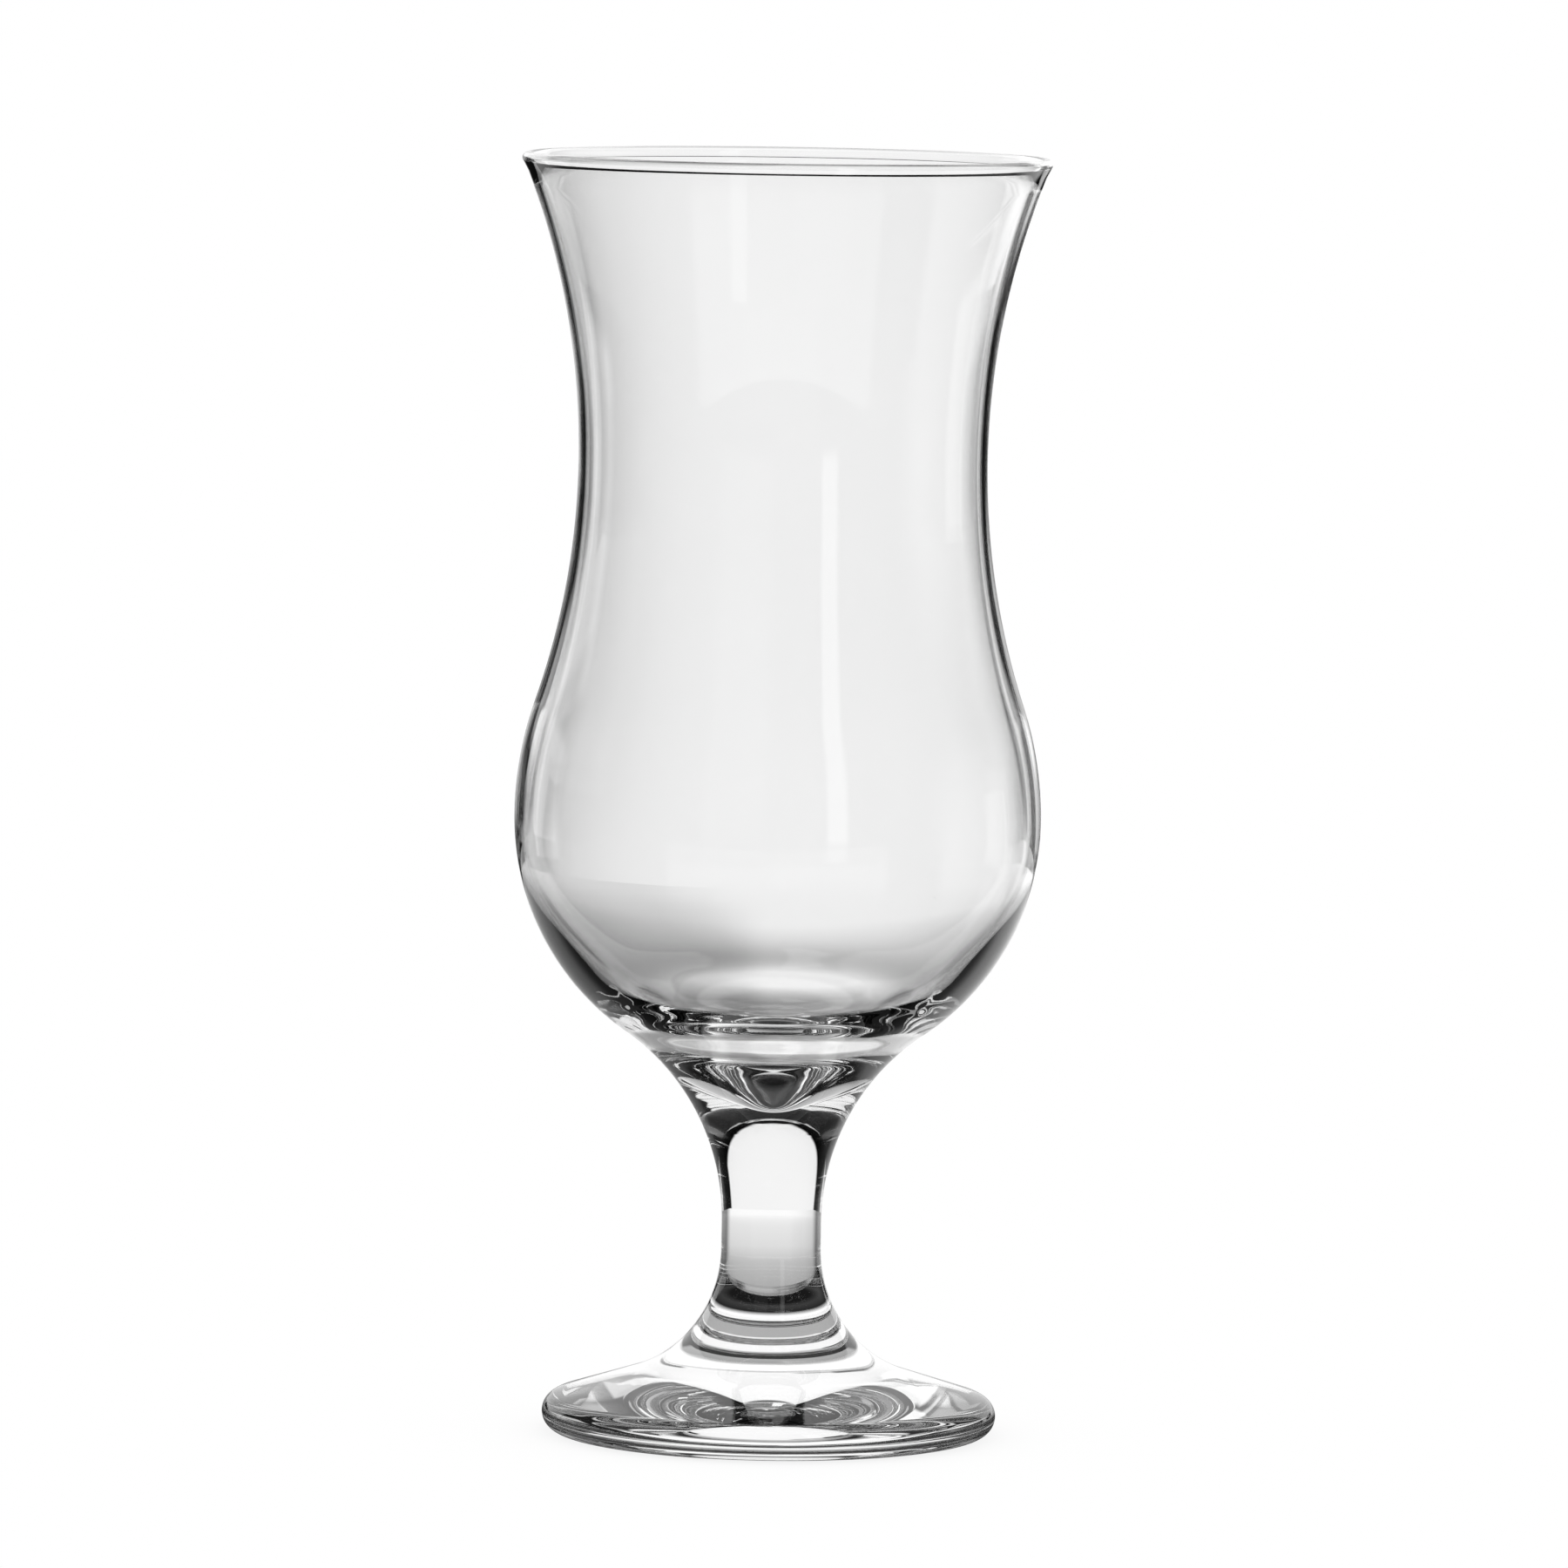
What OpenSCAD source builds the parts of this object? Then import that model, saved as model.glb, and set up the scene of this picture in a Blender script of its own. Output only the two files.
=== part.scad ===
// Hurricane glass: a footed drinking glass in clear glass.
// Three gathers of glass, joined hot: a blown bowl, a drawn stem and a pressed foot.
// The origin is the centre of the base, +Z is up, and the glass stands on the ring under its foot.

/* [Whole glass] */
// Height of the top of the rim above the table
glass_h = 200; // [185:0.5:225]

/* [Bowl, outside] */
// Outer diameter across the bead of the rim
rim_d = 82.6; // [74:0.2:94]
// Thickness of the fire-polished bead
bead_d = 1.8; // [1.5:0.1:2.6]
// How far the bead stands proud of the outer wall
bead_proud = 0.15; // [0.05:0.05:0.4]
// Diameter of the waist, the narrowest part of the bowl
waist_d = 63.8; // [56:0.2:70]
// Height of the waist above the table
waist_h = 152.5; // [142:0.2:162]
// Diameter of the belly, the widest part of the bowl
belly_d = 82.3; // [76:0.2:92]
// Height of the belly above the table
belly_h = 96.6; // [88:0.2:106]

/* [Bowl, inside] */
// Wall just below the bead
lip_wall = 1.2; // [0.9:0.1:1.6]
// Wall at the waist
waist_wall = 1.2; // [0.9:0.1:2.4]
// Wall at the belly
belly_wall = 1.5; // [1.2:0.1:2.8]
// How far below the belly the inside is widest
cup_drop = 2.4; // [0:0.1:5]
// Height of the floor of the inside above the table, without its waves
floor_h = 54.4; // [51:0.2:59]
// Radius of the rounded nose at the middle of the floor
nose_r = 3; // [1.6:0.1:5]
// Depth of the pit in the middle of the floor
pit_h = 1.8; // [0.4:0.1:2.6]
// Radius of the pit
pit_r = 4.6; // [3:0.1:7]
// Height of the swell round the pit
swell_h = 0.6; // [0:0.1:1.2]
// Radius of the swell about the axis
swell_r = 11.1; // [9:0.1:13]
// Half the width of the swell
swell_w = 3.4; // [2:0.1:5]
// Height of the ledge at the foot of the wall
ledge_h = 1.3; // [0:0.1:2]
// Radius of the ledge about the axis
ledge_r = 21.1; // [19:0.1:24]
// Half the width of the ledge
ledge_w = 4.5; // [3:0.1:6]
// Glass between the lowest point of the inside and the stem
weld_wall = 3.6; // [2:0.1:6]

/* [Stem] */
// Diameter of the narrowest stretch of the stem
stem_d = 15.6; // [12:0.2:20]
// Height at which the stem begins to flare up into the bowl
stem_top_h = 33.3; // [31:0.1:38]
// Height at which the stem begins to flare down into the foot
stem_low_h = 28.9; // [26:0.1:30.5]

/* [Foot] */
// Diameter of the foot
foot_d = 71.1; // [64:0.2:80]
// Thickness of the rounded edge of the foot
edge_t = 5.9; // [4.4:0.1:6.6]
// Fall of the foot's upper face towards its edge, in degrees
foot_fall = 17.6; // [15:0.1:20]
// Width of the flat ring that the glass rests on
ring_w = 1.6; // [1:0.1:3]
// Depth of the hollow under the foot
hollow_h = 1.8; // [0.6:0.1:2.6]

/* [Hidden] */

glass_tint = [0.88, 0.92, 0.91];
glass_alpha = 0.4;

// Flats in a full turn
turn_facets = 120;
// Largest turn between two points of an arc, in degrees, and the fewest steps along one
arc_step = 4;
arc_steps = 6;
// The direction of an arc's side that faces the axis, and a right angle, in degrees
inward = 180;
square = 90;

// Part of an S-bend's two radii that its upper arc takes, at the shoulder and under the belly
shoulder_share = 0.68;
base_share = 0.53;
// Part of the lower flare's turn that belongs to the stem
weld_share = 0.5;

// The powers of the curve of the inside: straighter towards the floor, round towards the belly
floor_power = 1.24;
wall_power = 0.49;
// Steps along that curve
cup_steps = 36;

bead_h = glass_h - bead_d / 2;
rim_wall_r = rim_d / 2 - bead_proud;
waist_r = waist_d / 2;
belly_r = belly_d / 2;
stem_r = stem_d / 2;
edge_r = edge_t / 2;
edge_centre = [foot_d / 2 - edge_r, edge_r];

// Points along an arc about a centre, between two directions
function arc(centre, r, from, to) =
    let (n = max(arc_steps, ceil(abs(to - from) / arc_step)))
    [for (i = [0 : n]) let (a = from + (to - from) * i / n) centre + r * [cos(a), sin(a)]];

function reversed(points) = [for (i = [len(points) - 1 : -1 : 0]) points[i]];

// An S-bend joins two upright directions with two arcs that touch.
// It goes out by dr over dz: the sum of its radii, and the turn of each arc.
function bend_radii(dr, dz) = (dr * dr + dz * dz) / (2 * dr);
function bend_turn(dr, dz) = 2 * atan(dr / dz);

// The wall of the bowl above its widest part, from the bead down: a bell-mouthed neck, then the shoulder
function neck(rim_r, narrow_r, wide_r, wide_h) =
    let (
        flare_dr = rim_r - narrow_r,
        flare_dz = bead_h - waist_h,
        flare_r = bend_radii(flare_dr, flare_dz),
        dr = wide_r - narrow_r,
        dz = waist_h - wide_h,
        radii = bend_radii(dr, dz),
        turn = bend_turn(dr, dz),
        upper_r = radii * shoulder_share,
        lower_r = radii - upper_r
    )
    concat(
        arc([narrow_r + flare_r, waist_h], flare_r, inward - asin(flare_dz / flare_r), inward),
        arc([narrow_r + upper_r, waist_h], upper_r, inward, inward + turn),
        arc([wide_r - lower_r, wide_h], lower_r, turn, 0)
    );

// The inside below the belly tapers to a rounded nose, so that the floor is heavy.
// The blown floor is wavy: a pit in the middle, a swell round it and a ledge at the foot of the wall.
cup_r = belly_r - belly_wall;
cup_top_h = belly_h - cup_drop;
function wave(r, middle_r, high, half_w) = high * exp(-pow((r - middle_r) / half_w, 2));
function cup_h(r) =
    let (reach = norm([r, nose_r]) / norm([cup_r, nose_r]))
    cup_top_h - (cup_top_h - floor_h) * pow(max(1 - pow(reach, floor_power), 0), wall_power)
        - wave(r, 0, pit_h, pit_r) + wave(r, swell_r, swell_h, swell_w) + wave(r, ledge_r, ledge_h, ledge_w);
cup = [
    for (i = [0 : cup_steps])
    let (r = cup_r * pow(cos(square * i / cup_steps), 2 / floor_power))
    [r, cup_h(r)]
];

// The outside from the belly down to the stem is one more S-bend.
// The stem is joined on its lower arc, just below the floor of the bowl.
base_dr = belly_r - stem_r;
base_dz = belly_h - stem_top_h;
base_radii = bend_radii(base_dr, base_dz);
base_turn = bend_turn(base_dr, base_dz);
under_r = base_radii * base_share;
fillet_r = base_radii - under_r;
fillet_centre = [stem_r + fillet_r, stem_top_h];
bowl_joint_h = cup_h(0) - weld_wall;
joint_turn = asin((bowl_joint_h - stem_top_h) / fillet_r);
under_belly = concat(
    arc([belly_r - under_r, belly_h], under_r, 0, -base_turn),
    arc(fillet_centre, fillet_r, inward - base_turn, inward - joint_turn)
);
stem_flare = arc(fillet_centre, fillet_r, inward - joint_turn, inward);

// The lower flare is the arc that leaves the stem upright and meets the foot's sloping face
face_h = edge_centre.x * sin(foot_fall) + edge_centre.y * cos(foot_fall) + edge_r;
flare_r = (stem_r * sin(foot_fall) + stem_low_h * cos(foot_fall) - face_h) / (1 - sin(foot_fall));
flare_centre = [stem_r + flare_r, stem_low_h];
flare_turn = square - foot_fall;
weld_turn = flare_turn * weld_share;
foot_joint_h = stem_low_h - flare_r * sin(weld_turn);

// The hollow under the foot is a shallow dome inside the ring
hollow_rim_r = edge_centre.x - ring_w;
dome_r = bend_radii(hollow_h, hollow_rim_r);
dome_turn = bend_turn(hollow_h, hollow_rim_r);

// Blown bowl: thin wall, bead at the rim, heavy floor
module bowl() {
    outside = concat(neck(rim_wall_r, waist_r, belly_r, belly_h), under_belly);
    inside = concat(neck(rim_wall_r - lip_wall, waist_r - waist_wall, cup_r, cup_top_h), cup);
    color(glass_tint, glass_alpha)
        rotate_extrude($fn = turn_facets) {
            polygon(concat([[0, bowl_joint_h]], reversed(outside), inside));
            translate([rim_d / 2 - bead_d / 2, bead_h])
                circle(d = bead_d, $fn = turn_facets);
        }
}

// Drawn stem: solid, and flared at both ends where it is joined
module stem() {
    lower = arc(flare_centre, flare_r, inward, inward + weld_turn);
    color(glass_tint, glass_alpha)
        rotate_extrude($fn = turn_facets)
            polygon(concat([[0, foot_joint_h], [0, bowl_joint_h]], stem_flare, lower));
}

// Pressed foot: a low cone with a round edge, which rests on a flat ring
module foot() {
    upper = arc(flare_centre, flare_r, inward + weld_turn, inward + flare_turn);
    edge = arc(edge_centre, edge_r, square - foot_fall, -square);
    hollow = arc([0, hollow_h - dome_r], dome_r, square - dome_turn, square);
    color(glass_tint, glass_alpha)
        rotate_extrude($fn = turn_facets)
            polygon(concat([[0, foot_joint_h]], upper, edge, hollow));
}

bowl();
stem();
foot();
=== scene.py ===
import math

import bpy
from mathutils import Matrix, Vector


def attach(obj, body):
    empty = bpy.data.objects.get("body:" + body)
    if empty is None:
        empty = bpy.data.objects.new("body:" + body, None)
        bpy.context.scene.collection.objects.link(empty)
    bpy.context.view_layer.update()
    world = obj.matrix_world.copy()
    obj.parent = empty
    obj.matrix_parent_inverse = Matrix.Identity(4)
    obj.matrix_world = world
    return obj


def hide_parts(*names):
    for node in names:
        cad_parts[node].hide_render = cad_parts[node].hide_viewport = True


# Hurricane glass in clear glass: a blown bowl, a drawn stem and a pressed foot.
# Each is turned from its own outline, and stands in the place of the solid of that name.
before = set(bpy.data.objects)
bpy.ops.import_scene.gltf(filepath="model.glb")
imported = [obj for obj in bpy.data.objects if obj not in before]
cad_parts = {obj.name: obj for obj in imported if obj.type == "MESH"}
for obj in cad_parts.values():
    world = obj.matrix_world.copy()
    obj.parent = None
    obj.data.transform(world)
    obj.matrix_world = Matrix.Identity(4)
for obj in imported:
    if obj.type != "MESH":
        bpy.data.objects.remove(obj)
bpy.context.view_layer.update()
print("frame loaded:", ", ".join(sorted(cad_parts)))

mm = 0.001


def linearColour(hexCode):
    # sRGB hex to the linear colour that the shaders take
    channels = [int(hexCode[i:i + 2], 16) / 255 for i in (1, 3, 5)]
    linear = [c / 12.92 if c <= 0.04045 else ((c + 0.055) / 1.055) ** 2.4 for c in channels]
    return (*linear, 1.0)


def addNode(tree, kind, settings=None, links=None, **inputs):
    # one node: settings are its properties, inputs its values by socket, and links what feeds it
    node = tree.nodes.new(kind)
    for name, value in (settings or {}).items():
        setattr(node, name, value)
    for name, value in inputs.items():
        node.inputs[name.replace("_", " ")].default_value = value
    for name, source in (links or {}).items():
        tree.links.new(source, node.inputs[name])
    return node


def mathsFor(tree):
    # a short way to write sums in a tree: a, b and c are sockets or numbers
    def maths(operation, a, b=None, c=None):
        node = addNode(tree, "ShaderNodeMath", {"operation": operation})
        for socket, value in zip(node.inputs, (a, b, c)):
            if isinstance(value, bpy.types.NodeSocket):
                tree.links.new(value, socket)
            elif value is not None:
                socket.default_value = value
        return node.outputs[0]
    return maths


# The outlines, in millimetres and degrees, are arcs that touch, and each piece is turned on one lathe

lathe = {
    "facets": 256,  # flats in a full turn
    "arcStep": 1.0,  # largest turn between two points of an arc
    "fewestSteps": 6,
    "sharpAngle": 30.0,  # an edge that turns more than this stays sharp
    "closeBy": 0.001,  # points nearer than this are one
}


def arc(centre, radius, fromAngle, toAngle, step=lathe["arcStep"]):
    steps = max(lathe["fewestSteps"], math.ceil(abs(toAngle - fromAngle) / step))
    angles = [math.radians(fromAngle + (toAngle - fromAngle) * i / steps) for i in range(steps + 1)]
    return [(centre[0] + radius * math.cos(a), centre[1] + radius * math.sin(a)) for a in angles]


# an S-bend joins two upright directions with two arcs: the sum of their radii, and the turn of each
def bendRadii(across, along):
    return (across ** 2 + along ** 2) / (2 * across)


def bendTurn(across, along):
    return 2 * math.degrees(math.atan(across / along))


# Bowl: blown, with a bead at the rim, a thin wall and a heavy wavy floor

bowl = {
    "height": 200.0,  # top of the rim above the table
    "rimDiameter": 82.6,
    "beadThickness": 1.8,
    "beadProud": 0.15,
    "beadStep": 6.0,
    "waistDiameter": 63.8,
    "waistHeight": 152.5,
    "bellyDiameter": 82.3,
    "bellyHeight": 96.6,
    "shoulderShare": 0.68,  # part of the shoulder's two radii that its upper arc takes
    "baseShare": 0.53,  # the same under the belly
    "lipWall": 1.2,
    "waistWall": 1.2,
    "bellyWall": 1.5,
    "cupDrop": 2.4,  # how far below the belly the inside is widest
    "floorHeight": 54.4,
    "floorPower": 1.24,  # the curve of the inside is straighter towards the floor
    "wallPower": 0.49,  # and round towards the belly
    "noseRadius": 3.0,
    "pitDepth": 1.8,
    "pitRadius": 4.6,
    "swellHeight": 0.6,
    "swellRadius": 11.1,
    "swellWidth": 3.4,
    "ledgeHeight": 1.3,
    "ledgeRadius": 21.1,
    "ledgeWidth": 4.5,
    "weldWall": 3.6,  # glass between the pit and the stem
    "leastGap": 0.05,  # between the end of the bead and the wall's next point
    "finish": {"name": "blownSodaLimeGlass", "streakLength": 38.5, "waveLength": 18.2, "waveDepth": 0.03,
               "seedSpacing": 23.8, "seedRadius": 0.143, "seedShare": 0.55},
}

beadHeight = bowl["height"] - bowl["beadThickness"] / 2
waistRadius = bowl["waistDiameter"] / 2
bellyRadius = bowl["bellyDiameter"] / 2
cupRadius = bellyRadius - bowl["bellyWall"]
cupTop = bowl["bellyHeight"] - bowl["cupDrop"]


def neckOutline(rimRadius, narrowRadius, wideRadius, wideHeight):
    # from the bead down: a bell mouth, then the two arcs of the shoulder
    flareAcross, flareAlong = rimRadius - narrowRadius, beadHeight - bowl["waistHeight"]
    flare = bendRadii(flareAcross, flareAlong)
    across, along = wideRadius - narrowRadius, bowl["waistHeight"] - wideHeight
    radii, turn = bendRadii(across, along), bendTurn(across, along)
    upper = radii * bowl["shoulderShare"]
    lower = radii - upper
    mouth = arc((narrowRadius + flare, bowl["waistHeight"]), flare,
                180 - math.degrees(math.asin(flareAlong / flare)), 180)
    return (mouth + arc((narrowRadius + upper, bowl["waistHeight"]), upper, 180, 180 + turn)[1:]
            + arc((wideRadius - lower, wideHeight), lower, turn, 0)[1:])


def floorHeight(radius):
    # the inside tapers to a rounded nose, and the blown floor is wavy: a pit, a swell round it and a ledge
    reach = math.hypot(radius, bowl["noseRadius"]) / math.hypot(cupRadius, bowl["noseRadius"])
    depth = max(1 - reach ** bowl["floorPower"], 0) ** bowl["wallPower"]
    height = cupTop - (cupTop - bowl["floorHeight"]) * depth
    for middle, wave, width in ((0, -bowl["pitDepth"], bowl["pitRadius"]),
                                (bowl["swellRadius"], bowl["swellHeight"], bowl["swellWidth"]),
                                (bowl["ledgeRadius"], bowl["ledgeHeight"], bowl["ledgeWidth"])):
        height += wave * math.exp(-((radius - middle) / width) ** 2)
    return height


def bowlOutline():
    # up the inside, over the bead and down the outside, to the weld on the flare under the belly
    wallRadius = bowl["rimDiameter"] / 2 - bowl["beadProud"]
    cupRadii = [cupRadius * max(x, 0) ** (2 / bowl["floorPower"]) for x, z in arc((0, 0), 1, -90, 0)]
    cup = [(radius, floorHeight(radius)) for radius in cupRadii]
    inside = neckOutline(wallRadius - bowl["lipWall"], waistRadius - bowl["waistWall"], cupRadius, cupTop)
    outside = neckOutline(wallRadius, waistRadius, bellyRadius, bowl["bellyHeight"])
    beadRadius = bowl["beadThickness"] / 2
    beadCentre = bowl["rimDiameter"] / 2 - beadRadius
    inner = 180 + math.degrees(math.acos((beadCentre - wallRadius + bowl["lipWall"]) / beadRadius))
    outer = -math.degrees(math.acos((wallRadius - beadCentre) / beadRadius))
    bead = arc((beadCentre, beadHeight), beadRadius, inner, outer, bowl["beadStep"])
    innerWall = [p for p in inside[::-1] if p[1] < bead[0][1]]
    outerWall = [p for p in outside if p[1] < bead[-1][1] - bowl["leastGap"]]
    under = arc((bellyRadius - underRadius, bowl["bellyHeight"]), underRadius, 0, -baseTurn)
    under += arc(filletCentre, filletRadius, 180 - baseTurn, 180 - jointTurn)[1:]
    return cup + innerWall[1:] + bead + outerWall + under[1:] + [(0, bowlWeld)]


# Stem: drawn and solid, with a flare at each end on which its neighbour is welded

stem = {
    "diameter": 15.6,
    "top": 33.3,  # where it begins to flare up into the bowl
    "low": 28.9,  # where it begins to flare down into the foot
    "weldShare": 0.5,  # part of the lower flare's turn that belongs to the stem
    "finish": {"name": "drawnSodaLimeGlass", "streakLength": 25.0, "waveLength": 14.3, "waveDepth": 0.03,
               "seedSpacing": 16.7, "seedRadius": 0.1, "seedShare": 0.35},
}

stemRadius = stem["diameter"] / 2
# the bend under the belly ends in the upper flare
baseAcross, baseAlong = bellyRadius - stemRadius, bowl["bellyHeight"] - stem["top"]
baseTurn = bendTurn(baseAcross, baseAlong)
underRadius = bendRadii(baseAcross, baseAlong) * bowl["baseShare"]
filletRadius = bendRadii(baseAcross, baseAlong) - underRadius
filletCentre = (stemRadius + filletRadius, stem["top"])
bowlWeld = floorHeight(0) - bowl["weldWall"]
jointTurn = math.degrees(math.asin((bowlWeld - stem["top"]) / filletRadius))


def stemOutline():
    upper = arc(filletCentre, filletRadius, 180 - jointTurn, 180)
    lower = arc(flareCentre, flareRadius, 180, 180 + weldTurn)
    return [(0, bowlWeld)] + upper + lower + [(0, footWeld)]


# Foot: pressed, with a sloping face, a round edge, a flat ring to rest on and a shallow hollow inside it

foot = {
    "diameter": 71.1,
    "edgeThickness": 5.9,
    "edgeStep": 4.0,
    "fall": 17.6,  # slope of the upper face
    "ringWidth": 1.6,
    "hollowDepth": 1.8,
    "hollowStep": 0.2,
    "finish": {"name": "pressedSodaLimeGlass", "streakLength": 25.0, "waveLength": 16.1, "waveDepth": 0.1,
               "seedSpacing": 16.7, "seedRadius": 0.1, "seedShare": 0.35},
}

edgeRadius = foot["edgeThickness"] / 2
edgeCentre = (foot["diameter"] / 2 - edgeRadius, edgeRadius)
fallSine, fallCosine = math.sin(math.radians(foot["fall"])), math.cos(math.radians(foot["fall"]))
# the lower flare leaves the stem upright and meets the sloping face
faceHeight = edgeCentre[0] * fallSine + edgeCentre[1] * fallCosine + edgeRadius
flareRadius = (stemRadius * fallSine + stem["low"] * fallCosine - faceHeight) / (1 - fallSine)
flareCentre = (stemRadius + flareRadius, stem["low"])
flareTurn = 90 - foot["fall"]
weldTurn = flareTurn * stem["weldShare"]
footWeld = stem["low"] - flareRadius * math.sin(math.radians(weldTurn))


def footOutline():
    upper = arc(flareCentre, flareRadius, 180 + weldTurn, 180 + flareTurn)
    edge = arc(edgeCentre, edgeRadius, 90 - foot["fall"], -90, foot["edgeStep"])
    rimRadius = edgeCentre[0] - foot["ringWidth"]
    domeRadius = bendRadii(foot["hollowDepth"], rimRadius)
    domeTurn = bendTurn(foot["hollowDepth"], rimRadius)
    domeCentre = (0, foot["hollowDepth"] - domeRadius)
    hollow = arc(domeCentre, domeRadius, 90 - domeTurn, 90, foot["hollowStep"])
    return [(0, footWeld)] + upper + edge + hollow


# One node tree turns an outline into a closed piece

def latheTree():
    tree = bpy.data.node_groups.new("turnedGlass", "GeometryNodeTree")
    sockets = (("Outline", "NodeSocketGeometry"), ("Facets", "NodeSocketInt"),
               ("Upper weld height", "NodeSocketFloat"), ("Lower weld height", "NodeSocketFloat"),
               ("Glass", "NodeSocketMaterial"), ("Weld", "NodeSocketMaterial"))
    for name, kind in sockets:
        tree.interface.new_socket(name, in_out="INPUT", socket_type=kind)
    tree.interface.new_socket("Piece", in_out="OUTPUT", socket_type="NodeSocketGeometry")
    into = addNode(tree, "NodeGroupInput").outputs
    maths = mathsFor(tree)

    # a grid with a row for each point of the outline and a column for each flat
    points = addNode(tree, "GeometryNodeAttributeDomainSize", links={"Geometry": into["Outline"]})
    columns = maths("ADD", into["Facets"], 1)
    grid = addNode(tree, "GeometryNodeMeshGrid",
                   links={"Vertices X": points.outputs["Point Count"], "Vertices Y": columns})
    index = addNode(tree, "GeometryNodeInputIndex").outputs[0]
    row = maths("FLOOR", maths("DIVIDE", maths("ADD", index, 0.5), columns))
    column = maths("SUBTRACT", index, maths("MULTIPLY", row, columns))
    angle = maths("MULTIPLY", maths("DIVIDE", column, into["Facets"]), math.tau)
    place = addNode(tree, "GeometryNodeInputPosition").outputs[0]
    sample = addNode(tree, "GeometryNodeSampleIndex", {"data_type": "FLOAT_VECTOR"},
                     {"Geometry": into["Outline"], "Value": place, "Index": row})
    turned = addNode(tree, "ShaderNodeVectorRotate", {"rotation_type": "Z_AXIS"},
                     {"Vector": sample.outputs[0], "Angle": angle})
    shaped = addNode(tree, "GeometryNodeSetPosition",
                     links={"Geometry": grid.outputs["Mesh"], "Position": turned.outputs[0]})
    closed = addNode(tree, "GeometryNodeMergeByDistance", links={"Geometry": shaped.outputs[0]},
                     Distance=lathe["closeBy"] * mm)

    # smooth but for the corners, and the welds have their own material
    smooth = addNode(tree, "GeometryNodeSetShadeSmooth", links={"Geometry": closed.outputs[0]})
    corner = addNode(tree, "GeometryNodeInputMeshEdgeAngle").outputs["Unsigned Angle"]
    sharp = maths("GREATER_THAN", corner, math.radians(lathe["sharpAngle"]))
    marked = addNode(tree, "GeometryNodeStoreNamedAttribute", {"data_type": "BOOLEAN", "domain": "EDGE"},
                     {"Geometry": smooth.outputs[0], "Value": sharp}, Name="sharp_edge")
    height = addNode(tree, "ShaderNodeSeparateXYZ", links={"Vector": place}).outputs["Z"]

    def near(weldHeight):
        away = maths("ABSOLUTE", maths("SUBTRACT", height, weldHeight))
        return maths("LESS_THAN", away, lathe["closeBy"] * mm)

    weldFaces = maths("MAXIMUM", near(into["Upper weld height"]), near(into["Lower weld height"]))
    realized = addNode(tree, "GeometryNodeRealizeInstances", links={"Geometry": marked.outputs[0]})
    glassed = addNode(tree, "GeometryNodeSetMaterial",
                      links={"Geometry": realized.outputs[0], "Material": into["Glass"]})
    welded = addNode(tree, "GeometryNodeSetMaterial",
                     links={"Geometry": glassed.outputs[0], "Selection": weldFaces, "Material": into["Weld"]})
    addNode(tree, "NodeGroupOutput", links={"Piece": welded.outputs[0]})
    return tree


def turnPiece(name, node, outline, tree, glassMaterial, weldMaterial):
    outlineMesh = bpy.data.meshes.new(name + "Outline")
    outlineMesh.from_pydata([(x * mm, 0, z * mm) for x, z in outline],
                            [(i, i + 1) for i in range(len(outline) - 1)], [])
    piece = bpy.data.objects.new(name, outlineMesh)
    bpy.context.scene.collection.objects.link(piece)
    turning = piece.modifiers.new("lathe", "NODES")
    turning.node_group = tree
    values = {"Facets": lathe["facets"], "Upper weld height": bowlWeld * mm,
              "Lower weld height": footWeld * mm, "Glass": glassMaterial, "Weld": weldMaterial}
    for item in tree.interface.items_tree:
        if item.name in values:
            turning[item.identifier] = values[item.name]
    evaluated = piece.evaluated_get(bpy.context.evaluated_depsgraph_get())
    mesh = bpy.data.meshes.new_from_object(evaluated)
    piece.modifiers.remove(turning)
    piece.data = mesh
    mesh.name = name
    bpy.data.meshes.remove(outlineMesh)
    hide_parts(node)
    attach(piece, "root")
    print("turned", name, "with", len(mesh.polygons), "faces")
    return piece


# Clear soda-lime glass, one melt in all three pieces: nearly colourless, so that the eye sees only what it bends.
# Blown and drawn glass is very even, and pressed glass is wavier. All of it is fire-polished, with no roughness.

melt = {
    "ior": 1.52,
    "colour": "#FFFFFF",
    "streakColour": "#FBFBFB",
    "streakDetail": 3.0,
    "waveDetail": 1.0,
    "seedColour": "#7C8381",
}


def newMaterial(name):
    material = bpy.data.materials.new(name)
    material.use_nodes = True
    material.node_tree.nodes.clear()
    return material, material.node_tree


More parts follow.
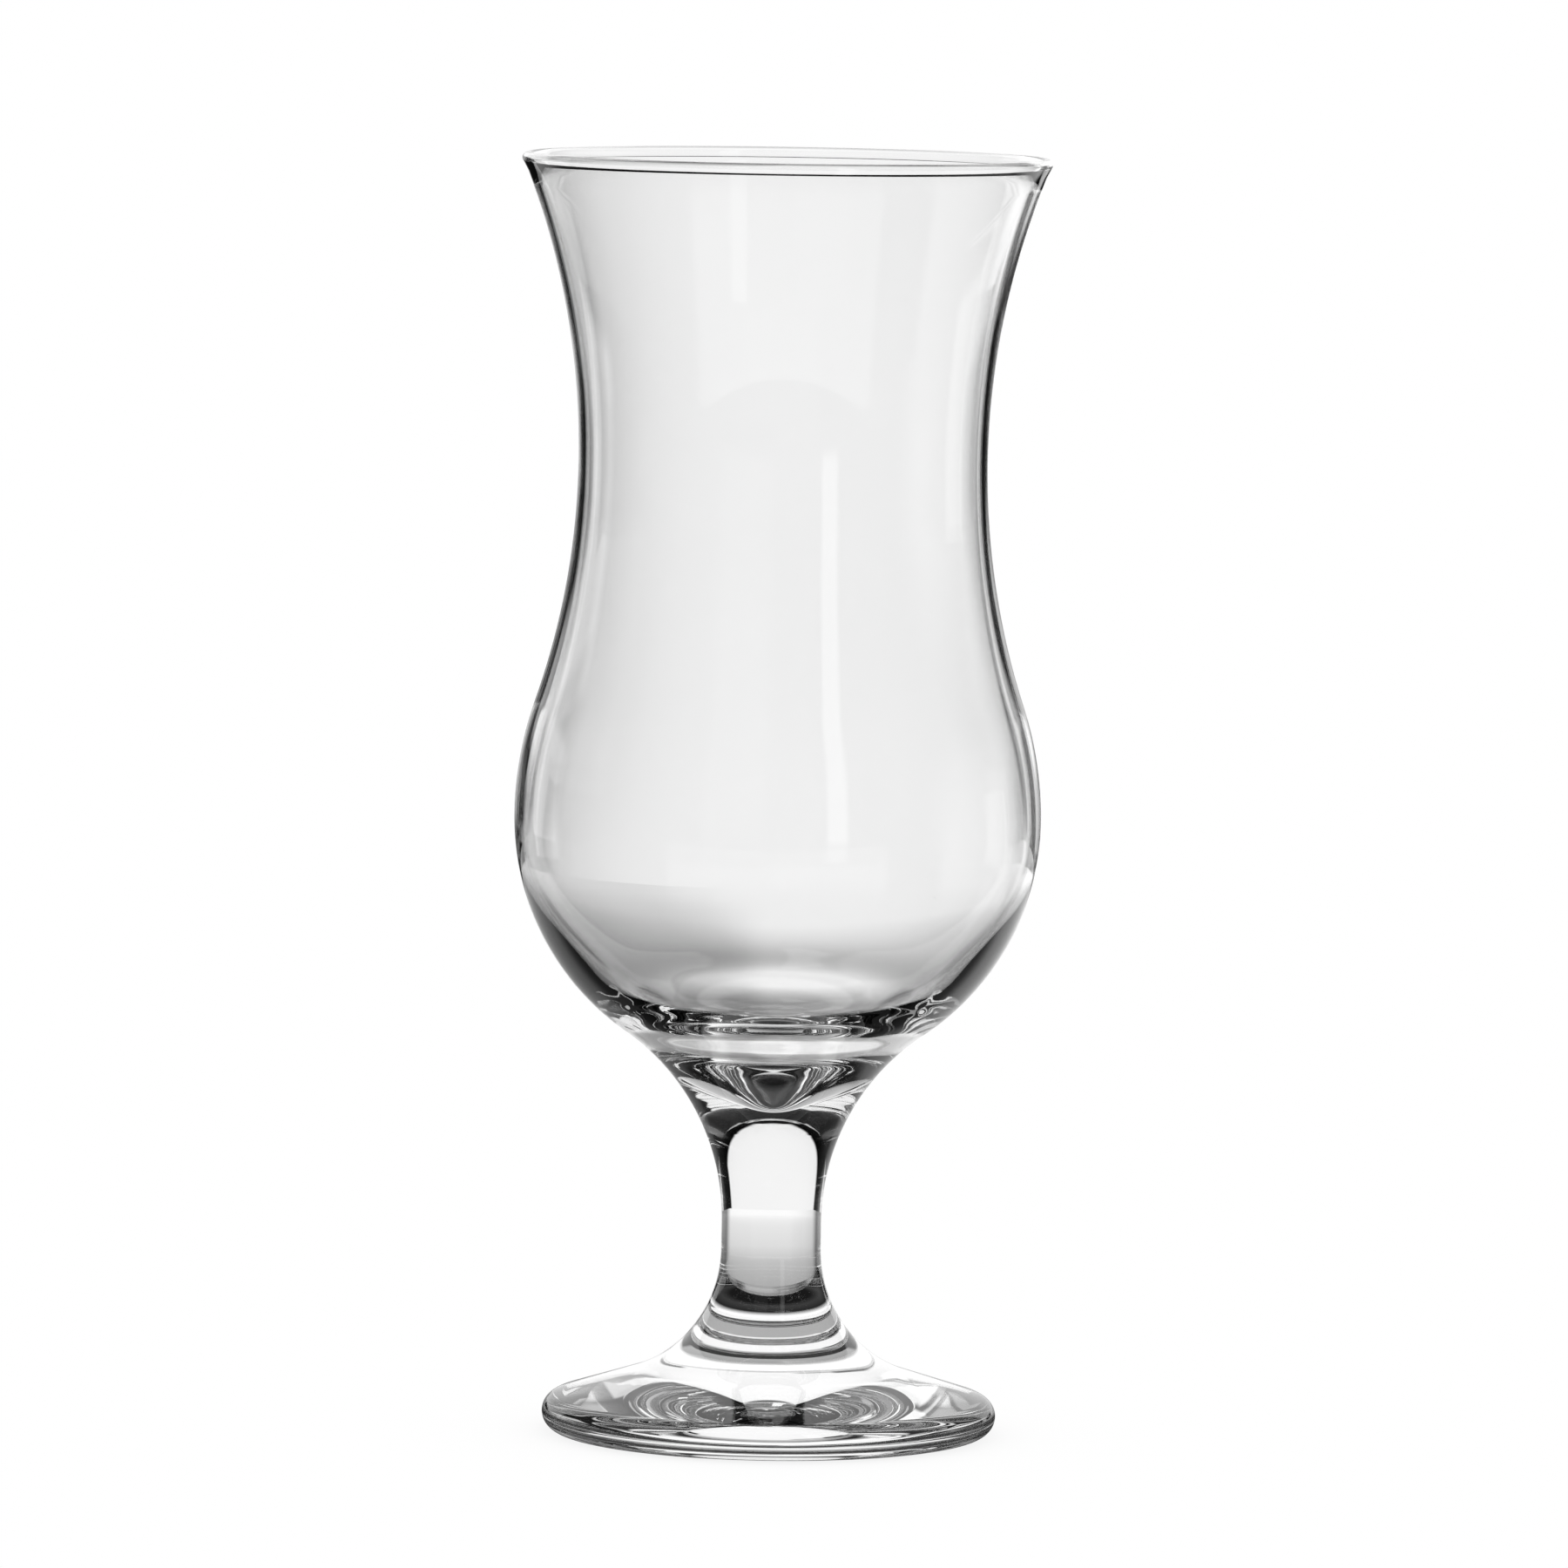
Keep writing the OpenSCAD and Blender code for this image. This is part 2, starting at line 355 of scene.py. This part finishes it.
def clearGlass(finish):
    # faint streaks of tint from the melt, rare tiny seeds, and the soft waves of a tooled surface; sizes in mm
    material, tree = newMaterial(finish["name"])
    maths = mathsFor(tree)
    place = addNode(tree, "ShaderNodeTexCoord").outputs["Object"]

    def mixed(factor, second):
        mix = addNode(tree, "ShaderNodeMix", {"data_type": "RGBA"}, {"Factor": factor})
        first, other = mix.inputs[6], mix.inputs[7]  # the two colours of this data type
        other.default_value = linearColour(second)
        return first, mix.outputs[2]

    streaks = addNode(tree, "ShaderNodeTexNoise", links={"Vector": place},
                      Scale=1 / (finish["streakLength"] * mm), Detail=melt["streakDetail"])
    clear, tinted = mixed(streaks.outputs["Fac"], melt["streakColour"])
    clear.default_value = linearColour(melt["colour"])
    seeds = addNode(tree, "ShaderNodeTexVoronoi", links={"Vector": place},
                    Scale=1 / (finish["seedSpacing"] * mm))
    inSeed = maths("LESS_THAN", seeds.outputs["Distance"], finish["seedRadius"] / finish["seedSpacing"])
    chance = addNode(tree, "ShaderNodeSeparateColor", links={"Color": seeds.outputs["Color"]}).outputs[0]
    rare = maths("LESS_THAN", chance, finish["seedShare"])
    base, colour = mixed(maths("MULTIPLY", inSeed, rare), melt["seedColour"])
    tree.links.new(tinted, base)
    waves = addNode(tree, "ShaderNodeTexNoise", links={"Vector": place},
                    Scale=1 / (finish["waveLength"] * mm), Detail=melt["waveDetail"])
    surface = addNode(tree, "ShaderNodeBump", links={"Height": waves.outputs["Fac"]},
                      Distance=finish["waveDepth"] * mm)
    shader = addNode(tree, "ShaderNodeBsdfPrincipled",
                     links={"Base Color": colour, "Normal": surface.outputs["Normal"]},
                     Roughness=0.0, IOR=melt["ior"], Transmission_Weight=1.0)
    addNode(tree, "ShaderNodeOutputMaterial", links={"Surface": shader.outputs[0]})
    return material


def weldGlass():
    # the two pieces have run together here, so light passes straight through
    material, tree = newMaterial("fusedGlass")
    shader = addNode(tree, "ShaderNodeBsdfTransparent")
    addNode(tree, "ShaderNodeOutputMaterial", links={"Surface": shader.outputs[0]})
    return material


tree = latheTree()
weldMaterial = weldGlass()
turnPiece("bowlGlass", "bowl", bowlOutline(), tree, clearGlass(bowl["finish"]), weldMaterial)
turnPiece("stemGlass", "stem", stemOutline(), tree, clearGlass(stem["finish"]), weldMaterial)
turnPiece("footGlass", "foot", footOutline(), tree, clearGlass(foot["finish"]), weldMaterial)


# Floor and room: all that clear glass shows is what stands round it, so both are a plain pale studio to the eye,
# and what the glass bends or mirrors depends on how the light came. As the glass shows it, the floor's glow holds
# painted shade, a painted shadow under the foot and painted light. Azimuth is from the far side to the right.

def ramp(tree, value, low, high, fromLevel, toLevel, kind="SMOOTHSTEP"):
    node = addNode(tree, "ShaderNodeMapRange", {"interpolation_type": kind}, {"Value": value})
    for name, number in (("From Min", low), ("From Max", high), ("To Min", fromLevel), ("To Max", toLevel)):
        node.inputs[name].default_value = number
    return node.outputs["Result"]


def choose(maths, chosen, yes, no):
    return maths("ADD", maths("MULTIPLY", chosen, yes), maths("MULTIPLY", maths("SUBTRACT", 1.0, chosen), no))


def rayKinds(tree, maths):
    # each kind is 1 for light that came this way
    path = addNode(tree, "ShaderNodeLightPath").outputs

    def atMost(depth, count):
        return maths("LESS_THAN", path[depth], count + 0.5)

    def atLeast(depth, count):
        return maths("GREATER_THAN", path[depth], count - 0.5)

    straight = atMost("Glossy Depth", 0)
    thin = maths("MULTIPLY", straight, atLeast("Transmission Depth", 3))
    frontWall = maths("MULTIPLY", atMost("Glossy Depth", 1), atMost("Transmission Depth", 2))
    return {
        "direct": path["Is Camera Ray"],
        "straight": straight,  # through the glass with no reflection
        "thin": thin,  # the same, through both walls of the bowl
        "once": maths("MULTIPLY", maths("SUBTRACT", 1.0, straight), frontWall),  # one reflection, at the front
        "often": atLeast("Glossy Depth", 2),
    }


# thin black bars round the room, one pair for each side that the glass is seen from; the light between them
# is a little darker to the left
bars = {"every": 45, "from": 12, "to": 20, "level": 1.05, "left": (-4.5, -0.5), "leftLevel": 0.87,
        "edge": (-7, -4.5), "edgeLevel": 0.65}

# in metres and degrees; each gradient is from, to, brightness from and brightness to
floorLook = {
    "side": 1.2,
    "drop": 0.0002,  # just under the foot's ring
    # painted shade: the floor glows darker near the glass and brighter further out
    "paintedShadeOutwards": (0.03, 0.42, 0.45, 1.08),
    "thinPaintedShadeOutwards": (0.12, 0.38, 0.38, bars["level"]),
    # painted shade: the floor glows darker to the left
    "paintedShadeLeftwards": (-60, -10, 0.75, 1.0),
    "mirroredPaintedShadeLeftwards": (-20, -6, 0.55, 1.0),
    "thinPaintedShadeLeft": (-2.5, 0, 0.2, 0.0),  # a patch of painted shade near the glass, and how it ends further out
    "thinPaintedShadeLeftEnd": (0.3, 0.55, 1.0, 0.0),
    # painted shade: as the glass shows it, the floor glows darker to the sides and in front
    "thinSides": (14, 20, 1.0, 0.15),
    "sides": (42, 56, 1.0, 0.25),
    "behind": (70, 86, 0.0, 0.7),
    "front": (0.0, 0.05, 0.1, 1.0),
    "table": (131, 133, 0.0, 0.4),  # two patches of painted light that the front wall mirrors
    "paintedLightBesideStart": (54, 58, 0.0, 1.0),
    "paintedLightBesideEnd": (103, 107, 0.5, 0.0),
    "patchesOutwards": (0.12, 0.3, 0.0, 1.0),
    # under the foot: a painted shadow with a painted bright ring, as brightness at each radius, and painted light
    # spots on the ring straight ahead and behind
    "underFootShadowAndGlow": ((0.0, 0.01), (0.01, 0.01), (0.013, 0.05), (0.018, 0.02), (0.023, 1.15), (0.03, 1.15),
                  (0.031, 0.5), (0.0315, 0.03), (0.038, 0.05), (0.042, 0.45)),
    "underSpan": 0.1,  # the curve's full width and height
    "underPeak": 2.0,
    "paintedLightSpots": (5, 8, 0.45, 0.0),
    "spotRadius": 0.0325,
    "spotHalf": 0.0022,
    "shadowReach": 0.03,
    "shadow": (0.0, 1.0, 0.88, 1.0),  # the soft shadow where the glass stands
    "shadowSamples": 8,
}


def radialCurve(tree, maths, radius, points, span, peak):
    # brightness by radius along straight lines between the points
    scaled = maths("MULTIPLY", radius, 1 / span)
    curve = addNode(tree, "ShaderNodeFloatCurve", links={"Value": scaled})
    shape = curve.mapping.curves[0]
    for i, (place, brightness) in enumerate(points):
        spot = (place / span, brightness / peak)
        if i < len(shape.points):
            shape.points[i].location = spot
        else:
            shape.points.new(*spot)
    for point in shape.points:
        point.handle_type = "VECTOR"
    curve.mapping.update()
    return maths("MULTIPLY", curve.outputs[0], peak)


def paleFloor():
    half = floorLook["side"] / 2
    mesh = bpy.data.meshes.new("floor")
    mesh.from_pydata([(-half, -half, 0), (half, -half, 0), (half, half, 0), (-half, half, 0)], [], [(0, 1, 2, 3)])
    floor = bpy.data.objects.new("floor", mesh)
    floor.location.z = -floorLook["drop"]
    bpy.context.scene.collection.objects.link(floor)
    material, tree = newMaterial("paleFloor")
    maths = mathsFor(tree)
    rays = rayKinds(tree, maths)
    place = addNode(tree, "ShaderNodeTexCoord").outputs["Object"]
    reach = addNode(tree, "ShaderNodeVectorMath", {"operation": "LENGTH"}, {0: place}).outputs["Value"]
    across = addNode(tree, "ShaderNodeSeparateXYZ", links={"Vector": place}).outputs
    azimuth = maths("DEGREES", maths("ARCTAN2", across["X"], across["Y"]))
    aside = maths("ABSOLUTE", azimuth)
    fold = maths("WRAP", azimuth, bars["every"] / 2, -bars["every"] / 2)

    def graded(value, gradient, kind="SMOOTHSTEP"):
        return ramp(tree, value, *floorLook[gradient], kind)

    # painted shade: darker near the glass, brighter further out
    gradient = choose(maths, rays["thin"], graded(reach, "thinPaintedShadeOutwards", "LINEAR"),
                      graded(reach, "paintedShadeOutwards", "LINEAR"))

    # painted shade to the left of the glass, and for light through both walls also to the sides
    nearPaintedShadeLeft = maths("MULTIPLY", graded(fold, "thinPaintedShadeLeft"), graded(reach, "thinPaintedShadeLeftEnd"))
    farPaintedShadeLeft = ramp(tree, fold, *bars["left"], bars["leftLevel"] / bars["level"], 1.0)
    thinPaintedShadeLeft = maths("MULTIPLY", maths("MULTIPLY", maths("SUBTRACT", 1.0, nearPaintedShadeLeft), farPaintedShadeLeft),
                     graded(maths("ABSOLUTE", fold), "thinSides"))
    left = choose(maths, rays["straight"], graded(azimuth, "paintedShadeLeftwards"), graded(azimuth, "mirroredPaintedShadeLeftwards"))
    left = choose(maths, rays["thin"], thinPaintedShadeLeft, left)

    # painted shade to the sides and in front
    side = maths("MAXIMUM", graded(aside, "sides"), maths("MULTIPLY", rays["straight"], graded(aside, "behind")))
    side = maths("MAXIMUM", rays["thin"], side)
    front = maths("MAXIMUM", rays["straight"], graded(across["Y"], "front"))
    level = maths("MULTIPLY", maths("MULTIPLY", gradient, left), maths("MULTIPLY", side, front))

    # painted shadow under the foot, with a painted bright ring and painted light spots
    points = floorLook["underFootShadowAndGlow"]
    under = radialCurve(tree, maths, reach, points, floorLook["underSpan"], floorLook["underPeak"])
    paintedLightSpots = maths("MULTIPLY", graded(aside, "paintedLightSpots"),
                  maths("COMPARE", reach, floorLook["spotRadius"], floorLook["spotHalf"]))
    close = maths("MULTIPLY", maths("SUBTRACT", 1.0, rays["straight"]), maths("LESS_THAN", reach, points[-1][0]))
    level = choose(maths, close, maths("MAXIMUM", under, paintedLightSpots), level)

    # painted light: glowing patches of floor that only the front wall's reflection shows
    outer = graded(reach, "patchesOutwards")
    table = maths("MULTIPLY", graded(aside, "table"), outer)
    beside = maths("MULTIPLY", maths("MULTIPLY", graded(azimuth, "paintedLightBesideStart"), graded(azimuth, "paintedLightBesideEnd")), outer)
    level = maths("MAXIMUM", level, maths("MULTIPLY", rays["once"], maths("MAXIMUM", table, beside)))

    contact = addNode(tree, "ShaderNodeAmbientOcclusion", {"samples": floorLook["shadowSamples"]},
                      Distance=floorLook["shadowReach"])
    seen = graded(contact.outputs["AO"], "shadow", "LINEAR")
    level = choose(maths, rays["direct"], seen, level)
    glow = addNode(tree, "ShaderNodeEmission", links={"Strength": level})
    addNode(tree, "ShaderNodeOutputMaterial", links={"Surface": glow.outputs[0]})
    mesh.materials.append(material)


# what stands round the glass, in degrees, with its brightness. Panels with "least" are seen only by light
# that the glass has reflected that many times, and those with "most" only by what its front wall mirrors
room = {"dark": 0.01, "soft": 1.5}
panels = (
    {"azimuth": (-47, 39), "elevation": (-95, 59), "level": 1.05},
    {"azimuth": (-32, -8), "elevation": (64, 78), "level": 1.3},
    {"azimuth": (-66, -46), "elevation": (-12, 10), "level": 0.75},
    {"azimuth": (-98, -66), "elevation": (2, 18), "level": 0.3, "least": 2},
    {"azimuth": (56, 105), "elevation": (-32, 10), "level": 0.5, "most": 1, "soft": 10},
    {"azimuth": (62, 78), "elevation": (-10, -2), "level": 0.7, "least": 2},
    {"azimuth": (55, 82), "elevation": (16, 26), "level": 0.6, "least": 2},
    {"azimuth": (-78, -49), "elevation": (15, 26), "level": 1.0, "least": 2},
    {"azimuth": (105, 125), "elevation": (4, 16), "level": 1.0, "least": 2},
    {"azimuth": (168, 192), "elevation": (-16, 4), "level": 0.95, "least": 2},
    {"azimuth": (149, 158), "elevation": (-6, 50), "level": 0.9, "most": 1},
    {"azimuth": (-174, -146), "elevation": (-6, 60), "level": 0.15, "most": 1},
    # dark cloths in front of them, for the dark lines along the walls
    {"azimuth": (-45, -6), "elevation": (-14, 2), "level": -0.65},
    {"azimuth": (-31, -22), "elevation": (-6, 1), "level": -0.6},
    {"azimuth": (8, 23), "elevation": (-8, -2), "level": -1.1},
    {"azimuth": (-26, -16), "elevation": (-8, 4), "level": -1.1, "most": 1},
    {"azimuth": (-24, -9), "elevation": (-18, -6), "level": -1.1, "most": 1},
    {"azimuth": (22, 33), "elevation": (-14, 4), "level": -1.1, "most": 1},
    {"azimuth": (-80, -14), "elevation": (-16, 6), "level": -1.1, "least": 2},
)
# black flags beside the glass, which give the solid stem its dark edges
flags = ((42, 68), (-68, -47))
# the far side of the sweep, as the solid glass shows it, is arched: its half width and its height
arch = {"half": 46, "height": 38, "soft": 0.08}


def studioWorld():
    world = bpy.data.worlds.new("studio")
    bpy.context.scene.world = world
    world.use_nodes = True
    tree = world.node_tree
    tree.nodes.clear()
    maths = mathsFor(tree)
    rays = rayKinds(tree, maths)
    direction = addNode(tree, "ShaderNodeTexCoord").outputs["Generated"]
    parts = addNode(tree, "ShaderNodeSeparateXYZ", links={"Vector": direction}).outputs
    azimuth = maths("DEGREES", maths("ARCTAN2", parts["X"], parts["Y"]))
    elevation = maths("DEGREES", maths("ARCSINE", parts["Z"]))

    def within(value, low, high, around, soft=room["soft"]):
        # 1 between two angles and 0 outside them, with a soft edge
        middle, half = (low + high) / 2, (high - low) / 2
        away = maths("SUBTRACT", value, middle)
        if around:
            away = maths("WRAP", away, 180.0, -180.0)
        return ramp(tree, maths("ABSOLUTE", away), half - soft, half + soft, 1.0, 0.0)

    # by way of reflections: the panels
    mirrored = room["dark"]
    for panel in panels:
        soft = panel.get("soft", room["soft"])
        shape = maths("MULTIPLY", within(azimuth, *panel["azimuth"], True, soft),
                      within(elevation, *panel["elevation"], False, soft))
        if "least" in panel:
            shape = maths("MULTIPLY", shape, rays["often"])
        if "most" in panel:
            shape = maths("MULTIPLY", shape, rays["once"])
        mirrored = maths("ADD", mirrored, maths("MULTIPLY", shape, panel["level"]))
    mirrored = maths("MAXIMUM", mirrored, room["dark"])

    # straight through solid glass: the arch between the flags
    flagged = maths("ADD", within(azimuth, *flags[0], True), within(azimuth, *flags[1], True))
    wide = maths("POWER", maths("DIVIDE", azimuth, arch["half"]), 2.0)
    high = maths("POWER", maths("DIVIDE", maths("MAXIMUM", elevation, 0.0), arch["height"]), 2.0)
    above = ramp(tree, maths("ADD", wide, high), 1.0 - arch["soft"], 1.0 + arch["soft"], 0.0, 1.0)
    above = maths("MULTIPLY", above, maths("LESS_THAN", maths("ABSOLUTE", azimuth), flags[0][1]))
    solid = maths("SUBTRACT", 1.0, maths("MAXIMUM", flagged, above))

    # straight through the thin bowl: the bars
    fold = maths("WRAP", azimuth, bars["every"] / 2, -bars["every"] / 2)
    bar = within(maths("ABSOLUTE", fold), bars["from"], bars["to"], False)
    left = ramp(tree, fold, *bars["left"], bars["leftLevel"], bars["level"])
    edge = ramp(tree, fold, *bars["edge"], bars["edgeLevel"], 1.0)
    barred = maths("MULTIPLY", maths("SUBTRACT", 1.0, bar), maths("MULTIPLY", left, edge))

    light = choose(maths, rays["straight"], choose(maths, rays["thin"], barred, solid), mirrored)
    light = maths("MAXIMUM", rays["direct"], light)
    background = addNode(tree, "ShaderNodeBackground", links={"Strength": light}, Color=(1, 1, 1, 1))
    addNode(tree, "ShaderNodeOutputWorld", links={"Surface": background.outputs[0]})


# the camera of the photograph, in metres, with its slight lean in degrees
view = {"distance": 1.85, "eyeHeight": 0.26, "aimHeight": 0.1019, "aimAside": 0.0009,
        "metresPerPixel": 0.000136, "frameSide": 1800, "sensor": 36.0, "lean": 0.9, "clipEnd": 20}


def photoCamera():
    eye = Vector((0, -view["distance"], view["eyeHeight"]))
    aim = Vector((view["aimAside"], 0, view["aimHeight"]))
    camera = bpy.data.cameras.new("camera")
    camera.sensor_width = view["sensor"]
    reach = (aim - eye).length
    camera.lens = view["sensor"] * reach / (view["metresPerPixel"] * view["frameSide"])
    camera.clip_end = view["clipEnd"]
    cameraObject = bpy.data.objects.new("camera", camera)
    turn = (aim - eye).to_track_quat("-Z", "Y").to_matrix().to_4x4()
    lean = Matrix.Rotation(math.radians(view["lean"]), 4, "Z")
    cameraObject.matrix_world = Matrix.Translation(eye) @ turn @ lean
    bpy.context.scene.collection.objects.link(cameraObject)
    bpy.context.scene.camera = cameraObject


# light needs many turns to leave heavy glass, and what is trapped in a wall goes black
lightTurns = {"total": 32, "mirrored": 14}

paleFloor()
studioWorld()
photoCamera()
scene = bpy.context.scene
scene.view_settings.view_transform = "Standard"
scene.cycles.max_bounces = lightTurns["total"]
scene.cycles.transmission_bounces = lightTurns["total"]
scene.cycles.glossy_bounces = lightTurns["mirrored"]
scene.cycles.transparent_max_bounces = lightTurns["total"]
print("camera, floor and light are set")
